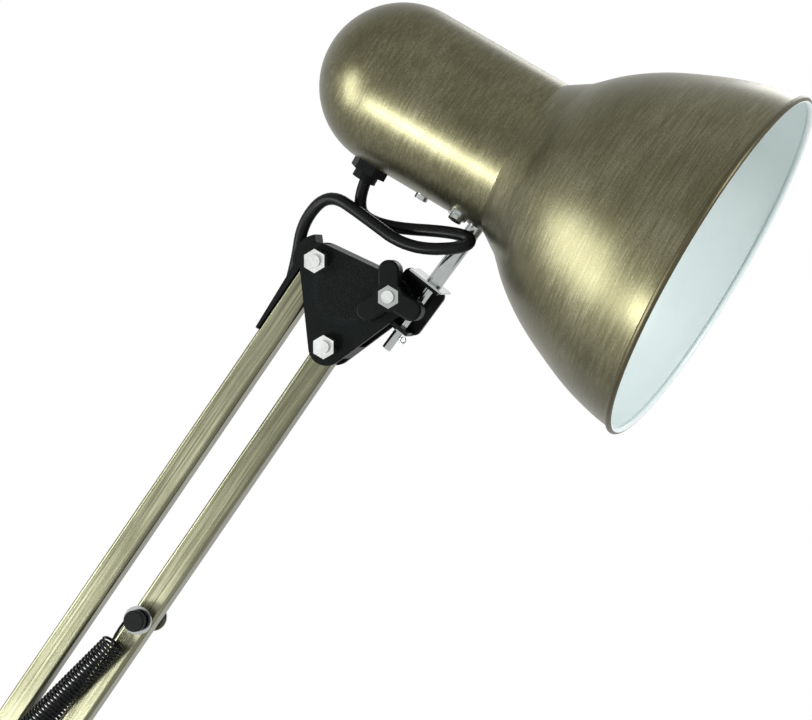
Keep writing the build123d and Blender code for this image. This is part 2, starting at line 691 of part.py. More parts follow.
STEM_HEX_U = stem_u_at(NECK_R - SHADE_T - FOOT_T)
STEM_END_U = STEM_HEX_U + STEM_HEX_T + BOLT_END
stem = rod(STEM_THIN_R, stem_axis(STEM_TIP), stem_axis(STEM_END_U))
stem += rod(STEM_R, stem_axis(friction_top + RUN), stem_axis(STEM_HEX_U)) - shade_body
stem_hex = hexagon_bar(STEM_HEX_AF, stem_axis(STEM_HEX_U - OVERRUN), stem_axis(STEM_HEX_U + STEM_HEX_T)) & inner_foot
stem_hex -= rod(STEM_THIN_R, stem_axis(friction_top), stem_axis(STEM_END_U))
PIN_HALF = STEM_THIN_R + PIN_WIRE_R


def pin_point(v):
    return stem_point(PIN_U, STEM_OFF + v, 0)


stem -= rod(PIN_WIRE_R, pin_point(-STEM_R), pin_point(STEM_R))
save("stem", stem, stem_hex)

keeper_u = STIRRUP_LOW - RUN
keeper = ring(KEEPER_R, STEM_THIN_R, stem_axis(keeper_u - KEEPER_T), stem_axis(keeper_u))
split_pin = rod(PIN_WIRE_R, pin_point(-PIN_HALF), pin_point(PIN_HALF))
split_pin += Plane(pin_point(PIN_HALF + RUN + PIN_RING_R), z_dir=(0, 1, 0)) * Torus(PIN_RING_R, PIN_WIRE_R)
save("stem_keeper", keeper, split_pin)


def neck_point(t, y, radial):
    """A point over the neck's surface, on the radius through the given depth y."""
    lean = math.asin(y / NECK_R)
    return head_point(t, radial * math.cos(lean), radial * math.sin(lean))


SCREW_IN = NECK_R - SHADE_T - FOOT_T - BOLT_END
screws = []
for t, y, cupped in ((SCREW_T, -SCREW_Y, True), (SCREW_T, SCREW_Y, True), (SMALL_SCREW_T, 0, False)):
    seat = NECK_R + (CUP_T if cupped else 0)
    screw = rod(SCREW_R, neck_point(t, y, SCREW_IN), neck_point(t, y, seat))
    screw += rod(SCREW_HEAD_R, neck_point(t, y, seat - SCREW_R * HALF), neck_point(t, y, seat + SCREW_HEAD_T))
    if cupped:
        screw += rod(CUP_R, neck_point(t, y, NECK_R - OVERRUN), neck_point(t, y, seat))
    head_part = screw - shade_body
    screws.append(head_part + rod(SCREW_R, neck_point(t, y, SCREW_IN), neck_point(t, y, NECK_R)))
    shade -= rod(SCREW_R, neck_point(t, y, SCREW_IN), neck_point(t, y, seat))
save("head_screws", *screws)

# Gland: faceted nut outside, neck through the wall, flange inside
gland_in = NECK_R - SHADE_T - HEAD_GLAND_IN


def gland_point(down):
    return head_point(GLAND_T, down, 0)


head_gland = hexagon_bar(HEAD_GLAND_BIG_R * 2, gland_point(NECK_R - OVERRUN), gland_point(NECK_R + HEAD_GLAND_OUT * HALF))
head_gland += rod(HEAD_GLAND_R, gland_point(NECK_R), gland_point(NECK_R + HEAD_GLAND_OUT))
head_gland -= shade_body
head_gland += rod(GLAND_R, gland_point(gland_in), gland_point(NECK_R + OVERRUN))
head_gland += rod(HEAD_GLAND_R, gland_point(gland_in), gland_point(NECK_R)) & shade_solid(SHADE_T, OVERRUN)
head_gland -= rod(CORD_R, gland_point(0), gland_point(NECK_R * 2))
save("head_gland", head_gland)
shade -= rod(GLAND_R, gland_point(0), gland_point(NECK_R + OVERRUN))
save("shade", shade)

# Lampholder on its bracket inside the neck
HOLDER_R = 19.5
HOLDER_FRONT = 104.0
HOLDER_LENGTH = 44.0
HOLDER_WALL = 1.5
SOCKET_R = 13.3
SOCKET_WALL = 1.3
SOCKET_DEPTH = 28.0
SLEEVE_SET = 2.0
SLEEVE_LENGTH = 24.0
STRAP_T = 123.5
STRAP_R = 26.0
STRAP_HALF_W = 10.0
CLAMP_T = 4.0
FOOT_FRONT = 103.0
FOOT_LENGTH = 39.0
FOOT_HALF_W = 19.0
SOCKET_OUT = SOCKET_R + SOCKET_WALL


def axis_ring(outer, inner, t0, t1):
    return ring(outer, inner, head_point(t0, 0, 0), head_point(t1, 0, 0))


ceramic = rod(HOLDER_R, head_point(HOLDER_FRONT, 0, 0), head_point(HOLDER_FRONT + HOLDER_LENGTH, 0, 0))
ceramic -= rod(SOCKET_OUT, head_point(HOLDER_FRONT - OVERRUN, 0, 0), head_point(HOLDER_FRONT + SOCKET_DEPTH, 0, 0))
save("lampholder_ceramic", ceramic)
sleeve_start = HOLDER_FRONT + SLEEVE_SET
save("lampholder_sleeve", axis_ring(SOCKET_OUT, SOCKET_R, sleeve_start, sleeve_start + SLEEVE_LENGTH))
clamp_back = STRAP_T + FOOT_T
front_clamp = axis_ring(HOLDER_R + HOLDER_WALL, HOLDER_R, HOLDER_FRONT, STRAP_T)
rear_clamp = axis_ring(STRAP_R - HOLDER_WALL, HOLDER_R, clamp_back, clamp_back + CLAMP_T)
save("lampholder_shell", front_clamp, rear_clamp)

below = Plane(head_point(FOOT_FRONT + FOOT_LENGTH / 2, NECK_R / 2, 0), x_dir=HEAD_BACK, z_dir=HEAD_DOWN)
foot_block = extrude(below * Rectangle(FOOT_LENGTH, FOOT_HALF_W * 2), NECK_R)
holder = (inner_neck - inner_foot) & foot_block
holder -= rod(STEM_THIN_R, stem_axis(0), stem_axis(STEM_END_U))
for t, y in ((SCREW_T, -SCREW_Y), (SCREW_T, SCREW_Y), (SMALL_SCREW_T, 0)):
    holder -= rod(SCREW_R, neck_point(t, y, SCREW_IN), neck_point(t, y, NECK_R))
holder += axis_ring(STRAP_R, HOLDER_R, STRAP_T, clamp_back)
web = Plane(head_point(STRAP_T + FOOT_T / 2, STRAP_R - HOLDER_WALL, 0), x_dir=HEAD_BACK, z_dir=HEAD_DOWN)
holder += extrude(web * Rectangle(FOOT_T, STRAP_HALF_W * 2), NECK_R) & inner_neck
save("holder_bracket", holder)

# Cord guide: two cheeks over the end of the cord tube, joined at both ends
GUIDE_R = 12.9
GUIDE_FROM = 98.0
GUIDE_TO = 180.0
GUIDE_SEAT = 0.1
GUIDE_TAIL = 44.0
GUIDE_HIGH = 3.7
GUIDE_LOW = 1.5
GROOVE_HALF = CORD_R + FACE_GAP


def guide_point(back, off):
    return P1 - UPPER_DIR * back + UPPER_SIDE * off


arc_mid = (GUIDE_FROM + GUIDE_TO) / 2
hood_edges = [
    Line(P1, P1 + heading(GUIDE_FROM) * GUIDE_R),
    ThreePointArc(*[P1 + heading(a) * GUIDE_R for a in (GUIDE_FROM, arc_mid, GUIDE_TO)]),
    Line(P1 + heading(GUIDE_TO) * GUIDE_R, P1),
]
guide_y = PLATE_IN - GUIDE_SEAT
guide = face_slab(make_face(Wire([e.edge() for e in hood_edges])), -guide_y, guide_y)
tongue = [
    guide_point(0, TUBE_HALF),
    guide_point(0, TUBE_HALF + GUIDE_HIGH),
    guide_point(GUIDE_TAIL, TUBE_HALF + GUIDE_LOW),
    guide_point(GUIDE_TAIL, TUBE_HALF),
]
guide += face_slab(make_face(Polyline(tongue, close=True)), -guide_y, guide_y)
guide -= pin(TUBE_HALF + GUIDE_SEAT, P1, -TUBE, TUBE)
guide -= Plane(guide_point(0, 0), x_dir=UPPER_DIR, z_dir=UPPER_SIDE) * Box(TUBE * 2, TUBE * 2, TUBE)
groove_mid = guide_point(GUIDE_SLOT_FAR / 2, TUBE)
groove = Box(GUIDE_SLOT_FAR, GROOVE_HALF * 2, TUBE * 2)
guide -= Plane(groove_mid, x_dir=UPPER_DIR, z_dir=UPPER_SIDE) * groove
hood_groove = Box(TUBE, GROOVE_HALF * 2, TUBE * 3, align=(Align.MAX, Align.CENTER, Align.CENTER))
guide -= Pos(*(P1 - Vector(TUBE_HALF + GUIDE_SEAT, 0, 0))) * hood_groove
save("cord_guide", guide)

# Cords: routes are lists of places chosen by hand
BEND_SHARE = 0.45


def cord_route(name, points):
    places = [Vector(*p) for p in points]
    radii = []
    for a, b, c in zip(places, places[1:], places[2:]):
        first, second = b - a, c - b
        half_turn = math.radians(first.get_angle(second) / 2)
        radii.append(BEND_SHARE * min(first.length, second.length) / math.tan(half_turn))
    print(name, "radii", [round(r, 1) for r in radii])
    return FilletPolyline(places, radius=radii)


def cord_tube(name, points):
    route = cord_route(name, points)
    tube = tube_along(route.edges(), CORD_R)
    print(name, "volume share", round(tube.volume / (route.length * math.pi * CORD_R * CORD_R), 4))
    return tube


head_cord_points = [
    (56.204, 0, 803.012),
    (43.204, 0, 780.496),
    (49.8, -2, 765.1),
    (102.2, -7.6, 761.8),
    (102.2, -13.2, 754.4),
    (72.3, -12.5, 754.1),
    (50.3, -11, 770.1),
    (31.3, -4, 781.6),
    (16.8, 0, 767.6),
    (14.0, 0, 747.5),
    (4.75, 0, 717.72),
    (0.69, 0, 712.01),
]
elbow_cord_points = [
    (-133.13, 0, 523.72),
    (-137.18, 0, 518.01),
    (-168.9, 0, 497.6),
    (-186, 0, 476),
    (-192, 0, 440),
    (-193, 0, 405),
    (-189, 0, 368),
    (-175.1, 0, 340.4),
    (-145.5, 0, 317.09),
    (-142.0, 0, 311.02),
]
bracket_cord_points = [
    (-36.0, 0, 127.43),
    (-32.5, 0, 121.36),
    (-27.1, 0, 84.05),
    (-24, 0, 61),
    (0, 0, 48),
    (0, 0, 19.5),
]
save("head_cord", cord_tube("head_cord", head_cord_points))
save("cord_elbow", cord_tube("cord_elbow", elbow_cord_points))
save("cord_bracket", cord_tube("cord_bracket", bracket_cord_points))


def cord_in_tube(start, end):
    """The straight stretch inside an arm, a little clear of the loops at its ends."""
    a, b = Vector(*start), Vector(*end)
    clear = (b - a).normalized() * FACE_GAP
    return rod(CORD_R, a + clear, b - clear)


save("cord_upper", cord_in_tube(head_cord_points[-1], elbow_cord_points[0]))
save("cord_lower", cord_in_tube(elbow_cord_points[-1], bracket_cord_points[0]))
BASE_TURN_R = 8.0
base_route = FilletPolyline(Vector(0, 0, 19.5), Vector(0, 0, 7.5), Vector(0, 104, 7.5), radius=BASE_TURN_R)
save("cord_base", tube_along(base_route.edges(), CORD_R))

# Free lead: out of the gland into a coil of two layers, through the switch to the plug
LOOP_R = 50.0
LOOP_STEP = 6.6
LOOP_TURNS = 5.25
LOOP_AT = Vector(-50, 155, 0)
FLOOR_CORD = CORD_D / 2
coil_entry_points = [(0, 104, 7.5), (0, 112, 7.5), (0, 140, 3), (0, 155, 3)]
coil_exit_points = [(-50, 205, 9.6), (-65, 205, 9.6), (-92, 205, 8), (-100, 205, 8)]
lead_points = [
    (-160, 205, 8),
    (-170, 205, 8),
    (-194, 204, 3),
    (-214, 194, 3),
    (-226, 174, 3),
    (-226, 148, 3),
    (-214, 125, 3),
    (-198, 104, 3),
    (-184, 84, 3),
    (-175, 60, 3),
    (-174, 40, 7),
    (-174, 30, 7),
]


def loop_state(turns):
    """Place and heading on the coil: inward on the floor, up a layer, and outward again."""
    angle = turns * math.pi * 2
    middle = LOOP_TURNS / 2
    radius = LOOP_R - LOOP_STEP * (middle - abs(turns - middle))
    ease = min(1, max(0, (turns - middle) / HALF + HALF))
    lift = LOOP_STEP * ease * ease * (3 - ease * 2)
    rise = LOOP_STEP * ease * (1 - ease) * 6 / HALF / (math.pi * 2)
    at_end = turns in (0, LOOP_TURNS) or turns == middle
    drift = 0 if at_end else math.copysign(LOOP_STEP / (math.pi * 2), turns - middle)
    radial = Vector(math.cos(angle), math.sin(angle), 0)
    forward = Vector(-math.sin(angle), math.cos(angle), 0)
    place = LOOP_AT + radial * radius + Vector(0, 0, FLOOR_CORD + lift)
    tangent = forward * radius + radial * drift + Vector(0, 0, rise)
    return place, tangent.normalized()


coil_steps = int(LOOP_TURNS * 8)
coil_edges = list(cord_route("coil entry", coil_entry_points).edges())
coil_edges += wound([loop_state(LOOP_TURNS * i / coil_steps) for i in range(coil_steps + 1)])
coil_edges += list(cord_route("coil exit", coil_exit_points).edges())
print("coil least gap", round(least_gap(coil_edges, CORD_D, 8), 2), "length", round(sum(e.length for e in coil_edges)))
save("cord_coil", tube_along(coil_edges, CORD_R))
save("lead_cord", cord_tube("lead_cord", lead_points))

# In-line switch: two half-shells and a rocker
SWITCH_AT = Vector(-130, 205, 0)
SWITCH_L = 60.0
SWITCH_W = 24.0
SWITCH_H = 16.0
SWITCH_ROUND = 3.0
ROCKER_L = 20.0
ROCKER_W = 12.0
ROCKER_RECESS = 8.0
ROCKER_Z = 12.0
ROCKER_RISE = 3.5
ROCKER_TIP = 5.0
ROCKER_DROP = 1.5
ROCKER_TAPER = 1.0
switch = Pos(*SWITCH_AT) * Box(SWITCH_L, SWITCH_W, SWITCH_H, align=(Align.CENTER, Align.CENTER, Align.MIN))
switch = fillet(switch.edges().filter_by(Axis.Z), SWITCH_ROUND * 2)
switch = fillet(switch.edges().group_by(Axis.Z)[-1], SWITCH_ROUND)
recess_box = Box(ROCKER_L + FACE_GAP * 2, ROCKER_W + FACE_GAP * 2, ROCKER_RECESS + OVERRUN)
recess_z = SWITCH_H + OVERRUN - (ROCKER_RECESS + OVERRUN) / 2
switch -= Pos(SWITCH_AT.X, SWITCH_AT.Y, recess_z) * recess_box
lower_half = switch & Pos(*SWITCH_AT) * Box(SWITCH_L * 2, SWITCH_W * 2, SWITCH_H)
save("switch_housing", lower_half, switch - lower_half)

rocker_x = ROCKER_L / 2
rocker_outline = [
    (-rocker_x, -ROCKER_DROP),
    (rocker_x, -ROCKER_DROP),
    (rocker_x - ROCKER_TAPER, ROCKER_TIP),
    (0, ROCKER_RISE),
    (ROCKER_TAPER - rocker_x, ROCKER_TIP),
]
rocker_corners = [Vector(SWITCH_AT.X + x, 0, ROCKER_Z + z) for x, z in rocker_outline]
rocker_y = SWITCH_AT.Y - ROCKER_W / 2
rocker = face_slab(make_face(Polyline(rocker_corners, close=True)), rocker_y, rocker_y + ROCKER_W)
save("switch_rocker", rocker)

# Flat two-pin plug
PLUG_AT = Vector(-174, 30, 7)
PLUG_L = 38.0
PLUG_W = 35.0
PLUG_T = 14.0
PLUG_NECK_W = 10.0
PLUG_FULL_share = 0.55
PLUG_NECK_share = 0.3
PLUG_ROUND = 2.5
PIN_L = 19.0
PIN_R = 2.0
PIN_SPREAD = 18.6
half_plug = PLUG_W / 2
half_neck = PLUG_NECK_W / 2
plug_outline = [
    (-half_neck, 0),
    (-half_neck, -PLUG_L * PLUG_NECK_share),
    (-half_plug, -PLUG_L * PLUG_FULL_share),
    (-half_plug, -PLUG_L),
    (half_plug, -PLUG_L),
    (half_plug, -PLUG_L * PLUG_FULL_share),
    (half_neck, -PLUG_L * PLUG_NECK_share),
    (half_neck, 0),
]
plug_corners = [Vector(PLUG_AT.X + x, PLUG_AT.Y + y, 0) for x, y in plug_outline]
plug = extrude(make_face(Polyline(plug_corners, close=True)), PLUG_T, dir=(0, 0, 1))
plug = fillet(plug.edges(), PLUG_ROUND)
save("plug_body", plug)
pins = []
for side in (1, -1):
    root = PLUG_AT + Vector(side * PIN_SPREAD / 2, -PLUG_L, 0)
    pins.append(rod(PIN_R, root, root - Vector(0, PIN_L, 0)))
save("plug_pins", *pins)
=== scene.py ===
import json
import math

import bpy
from mathutils import Matrix, Vector


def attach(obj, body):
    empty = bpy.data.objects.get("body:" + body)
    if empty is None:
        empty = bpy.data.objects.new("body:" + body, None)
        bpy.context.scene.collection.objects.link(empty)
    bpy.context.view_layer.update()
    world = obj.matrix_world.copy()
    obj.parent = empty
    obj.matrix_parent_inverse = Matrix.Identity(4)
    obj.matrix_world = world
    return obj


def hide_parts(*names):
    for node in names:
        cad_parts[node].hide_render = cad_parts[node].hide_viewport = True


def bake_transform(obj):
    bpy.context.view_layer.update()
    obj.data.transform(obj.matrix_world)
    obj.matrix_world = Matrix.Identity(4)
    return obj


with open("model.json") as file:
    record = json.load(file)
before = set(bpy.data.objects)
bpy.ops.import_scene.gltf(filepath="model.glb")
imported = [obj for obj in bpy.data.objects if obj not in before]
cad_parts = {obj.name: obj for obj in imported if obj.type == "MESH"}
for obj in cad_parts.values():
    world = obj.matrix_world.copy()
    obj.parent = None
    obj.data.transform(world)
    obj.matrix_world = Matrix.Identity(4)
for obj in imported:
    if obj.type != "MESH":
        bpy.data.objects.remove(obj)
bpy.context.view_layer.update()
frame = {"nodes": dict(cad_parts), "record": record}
nodes = frame["nodes"]
record = frame["record"]
pivots = {j["name"]: Vector(j["pos_m"]) for j in record["behaviour"]["joints"]}
MM = 0.001


def deselect_all():
    if bpy.context.object and bpy.context.object.mode != "OBJECT":
        bpy.ops.object.mode_set(mode="OBJECT")
    bpy.ops.object.select_all(action="DESELECT")


deselect_all()

# Places on the lamp, taken from its joints
TILT = pivots["head_tilt"]
GUIDE_PIVOT = pivots["head_level"]
ELBOW_TOP = pivots["upper_arm"]
BASE_PIVOT = pivots["lower_arm"]
LINK_PIVOT = pivots["lower_link"]
HEAD_TURN = math.radians(150)
RIM = TILT + Vector((150.7, 0, 14.4)) * MM
UPPER_ARM_TURN = math.radians(90 - 54.6)
LOWER_ARM_TURN = math.radians(-30)

# Camera: level with the head, a little to its right
SIGHT_TURN = math.radians(15)
SIGHT_LIFT = math.radians(1)
SIGHT_FAR = 1.9
PICTURE_WIDE = 812
PIXEL = 0.476
SIGHT_WIDTH = PICTURE_WIDE * PIXEL * MM
TILT_RIGHT = 8
TILT_UP = 63
SENSOR = 36.0
right = Vector((math.cos(SIGHT_TURN), math.sin(SIGHT_TURN), 0))
level_way = math.cos(SIGHT_LIFT)
toward = Vector(
    (math.sin(SIGHT_TURN) * level_way, -math.cos(SIGHT_TURN) * level_way, math.sin(SIGHT_LIFT))
)
picture_middle = TILT + right * (TILT_RIGHT * PIXEL * MM) - Vector((0, 0, TILT_UP * PIXEL * MM))
lens = bpy.data.cameras.new("camera")
lens.sensor_width = SENSOR
lens.lens = SENSOR * SIGHT_FAR / SIGHT_WIDTH
camera = bpy.data.objects.new("camera", lens)
bpy.context.scene.collection.objects.link(camera)
camera.location = picture_middle + toward * SIGHT_FAR
camera.rotation_euler = toward.to_track_quat("Z", "Y").to_euler()
bpy.context.scene.camera = camera


# Shader maths as Python expressions
class Wire:
    def __init__(self, paint, socket):
        self.paint = paint
        self.socket = socket

    def maths(self, operation, *others):
        return self.paint.node("ShaderNodeMath", {"operation": operation}, [self, *others])

    def __add__(self, other):
        return self.maths("ADD", other)

    __radd__ = __add__

    def __mul__(self, other):
        return self.maths("MULTIPLY", other)

    def __sub__(self, other):
        return self.maths("SUBTRACT", other)

    def __rsub__(self, other):
        return self.paint.node("ShaderNodeMath", {"operation": "SUBTRACT"}, [other, self])

    def clamped(self):
        return self.paint.node("ShaderNodeClamp", {}, [self])

    def spread(self, low, high):
        """0 at low, 1 at high, smooth between."""
        inputs = {"Value": self, "From Min": low, "From Max": high}
        return self.paint.node("ShaderNodeMapRange", {"interpolation_type": "SMOOTHSTEP"}, inputs)


class Paint:
    """One material, its nodes made by one method."""

    def __init__(self, name, **surface):
        self.material = bpy.data.materials.new(name)
        self.material.use_nodes = True
        self.tree = self.material.node_tree
        self.shader = self.tree.nodes["Principled BSDF"]
        for socket, value in surface.items():
            self.shader.inputs[socket.replace("_", " ")].default_value = value

    def node(self, kind, settings=None, inputs=(), output=0):
        made = self.tree.nodes.new(kind)
        for name, value in (settings or {}).items():
            if name == "stops":
                ramp = made.color_ramp
                while len(ramp.elements) < len(value):
                    ramp.elements.new(0.5)
                for element, (place, colour) in zip(ramp.elements, value):
                    element.position = place
                    element.color = (*colour, 1)
            else:
                setattr(made, name, value)
        pairs = inputs.items() if isinstance(inputs, dict) else enumerate(inputs)
        for key, value in pairs:
            if isinstance(value, Wire):
                self.tree.links.new(value.socket, made.inputs[key])
            else:
                made.inputs[key].default_value = value
        return Wire(self, made.outputs[output])

    def feed(self, socket, value):
        self.tree.links.new(value.socket, self.shader.inputs[socket])

    def place(self, turn=(0, 0, 0), at=(0, 0, 0), stretch=(1, 1, 1)):
        """Object coordinates moved to a piece's own middle, turned and stretched."""
        here = self.node("ShaderNodeTexCoord", {}, (), "Object")
        moving = {"Vector": here, "Location": at, "Rotation": turn}
        moved = self.node("ShaderNodeMapping", {"vector_type": "TEXTURE"}, moving)
        return self.node("ShaderNodeMapping", {}, {"Vector": moved, "Scale": stretch})

    def noise(self, where, scale, detail=4.0, rough=0.5):
        inputs = {"Vector": where, "Scale": scale, "Detail": detail, "Roughness": rough}
        return self.node("ShaderNodeTexNoise", {}, inputs, "Fac")

    def ramp(self, factor, *stops):
        return self.node("ShaderNodeValToRGB", {"stops": stops}, [factor])

    def blend(self, factor, first, second):
        made = self.tree.nodes.new("ShaderNodeMix")
        made.data_type = "RGBA"
        for index, value in ((0, factor), (6, first), (7, second)):
            if isinstance(value, Wire):
                self.tree.links.new(value.socket, made.inputs[index])
            else:
                made.inputs[index].default_value = (*value, 1) if index else value
        return Wire(self, made.outputs[2])

    def bump(self, height, depth, strength=1.0):
        inputs = {"Height": height, "Distance": depth, "Strength": strength}
        return self.node("ShaderNodeBump", {}, inputs, "Normal")

    def axes(self, where):
        """The three numbers of a place."""
        parts = self.tree.nodes.new("ShaderNodeSeparateXYZ")
        self.tree.links.new(where.socket, parts.inputs[0])
        return [Wire(self, parts.outputs[i]) for i in range(3)]


# Materials: each bronze from its dark, middle and light tone
SPUN_TONES = ((0.048, 0.045, 0.024), (0.105, 0.100, 0.058), (0.215, 0.208, 0.140))
TUBE_TONES = ((0.065, 0.064, 0.038), (0.145, 0.146, 0.095), (0.290, 0.288, 0.200))


def brushed_bronze(name, turn, at, stretch, dark, middle, light, rough):
    """Antique bronze with fine scratches drawn out across the stretched axes."""
    paint = Paint(name, Metallic=1.0)
    where = paint.place(turn, at, stretch)
    scratches = paint.noise(where, 1.0, 6.0, 0.7)
    cloud = paint.noise(paint.place(turn, at), 16.0, 3.0, 0.5)
    tone = (scratches * 0.62 + cloud * 0.38).clamped()
    paint.feed("Base Color", paint.ramp(tone, (0.30, dark), (0.50, middle), (0.68, light)))
    paint.feed("Roughness", (scratches * 0.25 + (rough - 0.12)).clamped())
    paint.feed("Normal", paint.bump(scratches, 0.00012, 0.5))
    return paint


ALONG = (1100.0, 1100.0, 14.0)
TUBE_ROUGH = 0.28
lower_bronze = brushed_bronze(
    "lower arm bronze", (0, LOWER_ARM_TURN, 0), BASE_PIVOT, ALONG, *TUBE_TONES, TUBE_ROUGH
)
upper_bronze = brushed_bronze(
    "upper arm bronze", (0, UPPER_ARM_TURN, 0), ELBOW_TOP, ALONG, *TUBE_TONES, TUBE_ROUGH
)


def spun_bronze(name, turn, at, dark, middle, light, rough):
    """Bronze brushed in rings round its own axis, which lies on the turned Z."""
    paint = Paint(name, Metallic=1.0)
    where = paint.place(turn, at)
    x, y, z = paint.axes(where)
    reach = (x * x + y * y).maths("SQRT") + 0.0001
    east, north = x.maths("DIVIDE", reach), y.maths("DIVIDE", reach)

    def rings(along, close, detail, rough_share):
        """Noise drawn out round the axis: along sets the streaks' length, close how near they lie."""
        drawn = paint.node("ShaderNodeCombineXYZ", {}, [east * along, north * along, z * close])
        return paint.noise(drawn, 1.0, detail, rough_share)

    scratches = rings(5.0, 1100.0, 5.0, 0.65)
    bands = rings(1.2, 70.0, 3.0, 0.5)
    grain = paint.noise(where, 1500.0, 2.0, 0.5)
    cloud = paint.noise(where, 22.0, 3.0, 0.5)
    tone = (scratches * 0.36 + bands * 0.14 + cloud * 0.26 + grain * 0.24).clamped()
    paint.feed("Base Color", paint.ramp(tone, (0.30, dark), (0.50, middle), (0.70, light)))
    paint.feed("Roughness", (scratches * 0.16 + grain * 0.06 + (rough - 0.10)).clamped())
    paint.feed("Normal", paint.bump(scratches * 0.7 + grain * 0.3, 0.00009, 0.5))
    return paint


head_turn = (0, math.pi / 2 - HEAD_TURN, 0)
shade_bronze = spun_bronze("spun shade bronze", head_turn, RIM, *SPUN_TONES, 0.34)
base_bronze = spun_bronze("base bronze", (0, 0, 0), (0, 0, 0), *SPUN_TONES, 0.38)


def speckled(name, colour, darker, scale, depth, **surface):
    """A plain finish with a fine unevenness in colour, gloss and surface; scale and depth are the grain's."""
    paint = Paint(name, **surface)
    where = paint.place()
    grain = paint.noise(where, scale, 5.0, 0.6)
    wear = paint.noise(where, scale * 0.08, 3.0, 0.5)
    paint.feed("Base Color", paint.blend(grain * 0.7 + wear * 0.3, darker, colour))
    rough = surface.get("Roughness", 0.5)
    paint.feed("Roughness", (wear * 0.2 + grain * 0.1 + (rough - 0.15)).clamped())
    paint.feed("Normal", paint.bump(grain, depth, 0.6))
    return paint


enamel = speckled(
    "white enamel", (0.62, 0.70, 0.69), (0.57, 0.65, 0.64),
    260.0, 0.00004, Roughness=0.32, Coat_Weight=0.3
)
rim_dark = speckled(
    "dark rolled rim", (0.10, 0.09, 0.05), (0.05, 0.045, 0.03),
    500.0, 0.00004, Roughness=0.4, Metallic=1.0
)
black_plastic = speckled(
    "moulded black plastic", (0.005, 0.006, 0.006), (0.003, 0.003, 0.003),
    1400.0, 0.00008, Roughness=0.40, Specular_IOR_Level=0.05
)
gloss_plastic = speckled(
    "gloss black plastic", (0.018, 0.018, 0.018), (0.012, 0.012, 0.012),
    600.0, 0.00002, Roughness=0.22
)
black_steel = speckled(
    "black painted steel", (0.005, 0.006, 0.006), (0.003, 0.003, 0.003),
    900.0, 0.00005, Roughness=0.32, Specular_IOR_Level=0.08
)
chrome = speckled(
    "chrome", (0.46, 0.48, 0.47), (0.36, 0.38, 0.37),
    300.0, 0.00001, Roughness=0.14, Metallic=1.0
)
zinc = speckled(
    "zinc plated steel", (0.60, 0.62, 0.60), (0.40, 0.41, 0.40),
    700.0, 0.00003, Roughness=0.30, Metallic=1.0
)
brass = speckled(
    "brass", (0.62, 0.46, 0.20), (0.50, 0.35, 0.14),
    500.0, 0.00003, Roughness=0.34, Metallic=1.0
)
iron = speckled(
    "cast iron", (0.060, 0.060, 0.062), (0.030, 0.030, 0.030),
    700.0, 0.0003, Roughness=0.6, Metallic=0.6
)
rubber = speckled(
    "black rubber", (0.022, 0.022, 0.022), (0.014, 0.014, 0.014),
    1500.0, 0.00005, Roughness=0.62
)
cord_sheath = speckled(
    "cord sheath", (0.005, 0.006, 0.006), (0.003, 0.003, 0.003),
    900.0, 0.00004, Roughness=0.34, Specular_IOR_Level=0.08
)
glaze = speckled(
    "white ceramic", (0.82, 0.80, 0.75), (0.74, 0.72, 0.66),
    300.0, 0.00003, Roughness=0.25
)


def grained_plate():
    """Head plate: leather grain inside a smooth border."""
    paint = Paint("grained black plastic", Roughness=0.45, Specular_IOR_Level=0.04)
    where = paint.place()
    cells = {"Vector": where, "Scale": 900.0, "Randomness": 1.0}
    leather = paint.node("ShaderNodeTexVoronoi", {"feature": "DISTANCE_TO_EDGE"}, cells, "Distance")
    fine = paint.noise(where, 2200.0, 3.0, 0.5)
    middle = GUIDE_PIVOT.lerp(TILT, 0.36) - Vector((0, 0, 8 * MM))
    x, _, z = paint.axes(paint.place((0, 0, 0), middle))
    reach = (x * x + z * z).maths("SQRT")
    inside = 1.0 - reach.spread(12 * MM, 17 * MM)
    tone = (leather * 3.0 + fine * 0.5).clamped()
    paint.feed("Base Color", paint.blend(tone, (0.002, 0.003, 0.003), (0.006, 0.007, 0.007)))
    paint.feed("Roughness", (0.36 + inside * 0.14 + fine * 0.06).clamped())
    paint.feed("Normal", paint.bump((leather * 4.0).clamped() * inside + fine * 0.1, 0.00022, 0.8))
    return paint


plate_grain = grained_plate()

finishes = {
    lower_bronze: ["lower_main_tube", "lower_link_tube"],
    upper_bronze: ["upper_cord_tube", "upper_spring_tube"],
    base_bronze: ["base_shell"],
    plate_grain: ["head_plate_front", "head_plate_back", "elbow_plate_front", "elbow_plate_back"],
    black_plastic: [
        "cord_guide",
        "tilt_knob",
        "lower_stud_caps",
        "upper_stud_caps",
        "elbow_caps",
        "bracket_caps",
        "head_gland",
        "plug_body",
        "switch_housing",
        "lower_main_bushes",
        "lower_link_bushes",
        "upper_cord_bushes",
        "upper_spring_bushes",
        "lampholder_shell",
    ],
    gloss_plastic: ["switch_rocker"],
    black_steel: ["stirrup", "base_bracket"],
    chrome: [
        "stem",
        "stem_keeper",
        "friction_plate",
        "head_screws",
        "lower_spring_eyes",
        "upper_spring_eyes",
        "knob_nut",
    ],
    zinc: [
        "head_fasteners",
        "elbow_fasteners",
        "bracket_fasteners",
        "tilt_bolt",
        "tilt_sleeve",
        "lower_spring_studs",
        "upper_spring_studs",
        "spindle",
        "holder_bracket",
    ],
    brass: ["swivel_bush", "lampholder_sleeve", "plug_pins"],
    iron: ["base_weight"],
    rubber: ["base_pad", "base_gland"],
    cord_sheath: ["cord_base", "cord_upper", "cord_lower"],
    glaze: ["lampholder_ceramic"],
}
for paint, names in finishes.items():
    for name in names:
        mesh = nodes[name].data
        mesh.materials.clear()
        mesh.materials.append(paint.material)


